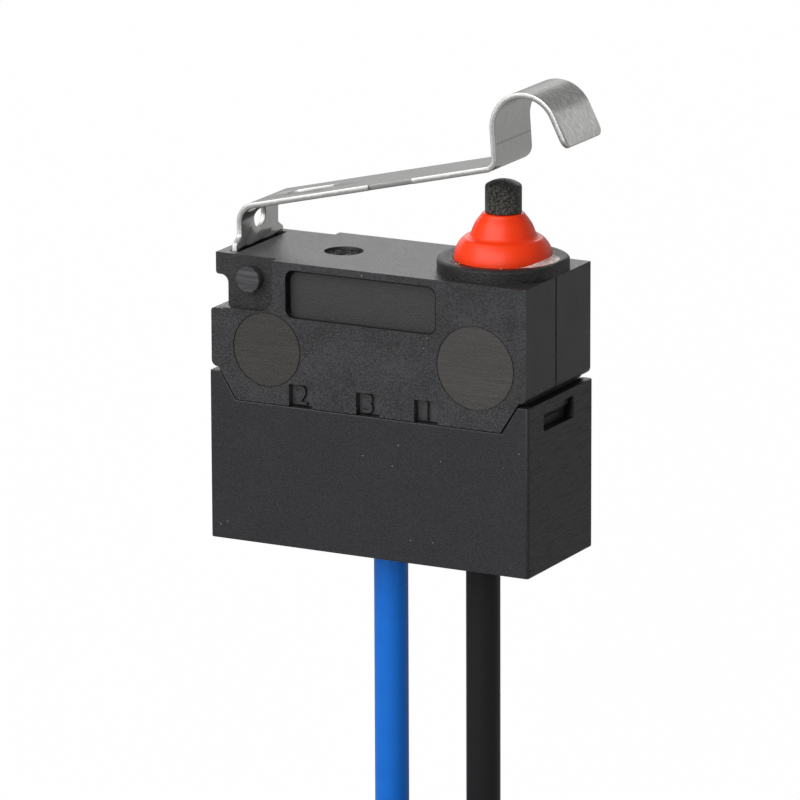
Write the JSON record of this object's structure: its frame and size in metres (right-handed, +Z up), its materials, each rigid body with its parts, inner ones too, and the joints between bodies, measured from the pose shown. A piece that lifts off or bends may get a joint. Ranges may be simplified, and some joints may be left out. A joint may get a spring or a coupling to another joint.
{
  "type": "micro switch",
  "caption": "Sealed snap-action switch with a leaf lever bent to a roller shape, a plunger in a red rubber boot, and two lead wires from a potted lower cup.",
  "frame": {"origin": "middle of the terminal cup's rear wall, on the flat rear face that lies on the panel", "axes": "+X along the switch from the lever's root to the plunger, +Y out of the rear face towards the panel, +Z up from the lead wires to the lever"},
  "size_m": [0.0143, 0.0117, 0.0573],
  "materials": {
    "black_moulding": "moulded, fine matt texture",
    "black_adhesive": "rough hardened adhesive",
    "red_silicone": "smooth, a little glossy",
    "clear_sealant": "clear cured bead, a little milky",
    "spring_steel": "rolled stainless strip with bright sheared edges",
    "terminal_brass": "stamped",
    "contact_silver": "bright silver alloy",
    "blade_copper": "thin copper alloy strip",
    "spring_wire": "drawn stainless wire",
    "tinned_copper": "twisted tinned strands",
    "solder": "smooth fillet",
    "potting_resin": "poured epoxy resin",
    "blue_insulation": "extruded, smooth",
    "black_insulation": "extruded, smooth",
    "tie_plastic": "flat natural nylon band"
  },
  "bodies": {
    "housing": {"terminal_cup": "black_moulding", "rear_case": "black_moulding", "front_cover": "black_moulding", "vent_seal": "black_adhesive", "boot_collar": "black_moulding", "rubber_boot": "red_silicone", "boot_sealant": "clear_sealant", "normally_closed_terminal": "terminal_brass", "normally_open_terminal": "terminal_brass", "common_terminal": "terminal_brass", "normally_closed_contact": "contact_silver", "normally_open_contact": "contact_silver", "return_spring": "spring_wire", "blue_conductor": "tinned_copper", "black_conductor": "tinned_copper", "blue_bare_end": "tinned_copper", "black_bare_end": "tinned_copper", "open_solder_joint": "solder", "common_solder_joint": "solder", "potting_compound": "potting_resin", "blue_wire": "blue_insulation", "blue_wire_hank": "blue_insulation", "blue_wire_end": "blue_insulation", "black_wire": "black_insulation", "black_wire_hank": "black_insulation", "black_wire_end": "black_insulation", "blue_hank_tie": "tie_plastic", "black_hank_tie": "tie_plastic"},
    "lever": {"actuator_lever": "spring_steel"},
    "plunger": {"plunger": "black_moulding"},
    "blade": {"contact_blade": "blade_copper", "moving_contact": "contact_silver", "snap_spring": "spring_wire"}
  },
  "joints": [
    {"name": "lever_hinge", "type": "hinge", "parent": "housing", "child": "lever", "pos_m": [-0.00601, -0.00265, 0.00783], "axis": [0, 1, 0], "range_deg": [0, 8.7], "stiffness_Nm_per_rad": 0.03},
    {"name": "plunger_slide", "type": "slide", "parent": "housing", "child": "plunger", "axis": [0, 0, -1], "range_m": [0, 0.0012], "deforming": ["rubber_boot", "return_spring"]},
    {"name": "blade_hinge", "type": "hinge", "parent": "housing", "child": "blade", "pos_m": [0.0019, -0.00265, 0.00502], "axis": [0, 1, 0], "range_deg": [0, 5.1]}
  ],
  "couplings": [
    {"joint": "plunger_slide", "follows": "lever_hinge", "m_per_rad": 0.0079021},
    {"joint": "blade_hinge", "follows": "lever_hinge", "ratio": 0.58615}
  ]
}
